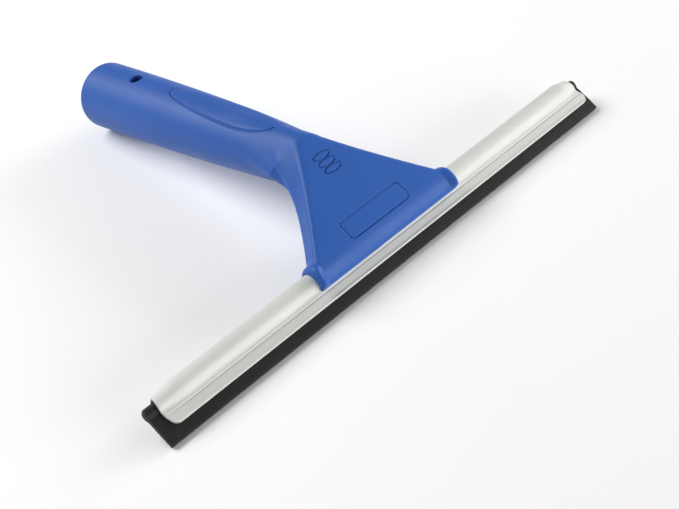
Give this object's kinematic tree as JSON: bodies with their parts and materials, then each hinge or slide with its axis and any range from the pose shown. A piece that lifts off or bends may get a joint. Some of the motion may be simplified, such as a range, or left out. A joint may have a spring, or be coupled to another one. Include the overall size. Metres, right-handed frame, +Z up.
{
  "type": "window squeegee",
  "caption": "Hand-held window squeegee: hollow plastic handle with a bent flat head, aluminium channel and a black rubber wiping strip.",
  "frame": {"origin": "under the middle of the squeegee as it lies on a table, on its rubber edge and the rim of its handle", "axes": "+X along the blade, +Y from the blade towards the pole end of the handle, +Z up, the front of the head facing up"},
  "size_m": [0.254, 0.2012, 0.0427],
  "materials": {
    "handle_plastic": "fine moulded satin",
    "channel_aluminium": "satin, with fine lengthwise drawing lines",
    "blade_rubber": "smooth matt"
  },
  "bodies": {
    "frame": {"handle": "handle_plastic", "blade_channel": "channel_aluminium"},
    "rubber": {"rubber_blade": "blade_rubber"}
  },
  "joints": [
    {"name": "rubber_slide", "type": "slide", "parent": "frame", "child": "rubber", "axis": [1, 0, 0], "range_m": [0, 0.26]}
  ]
}
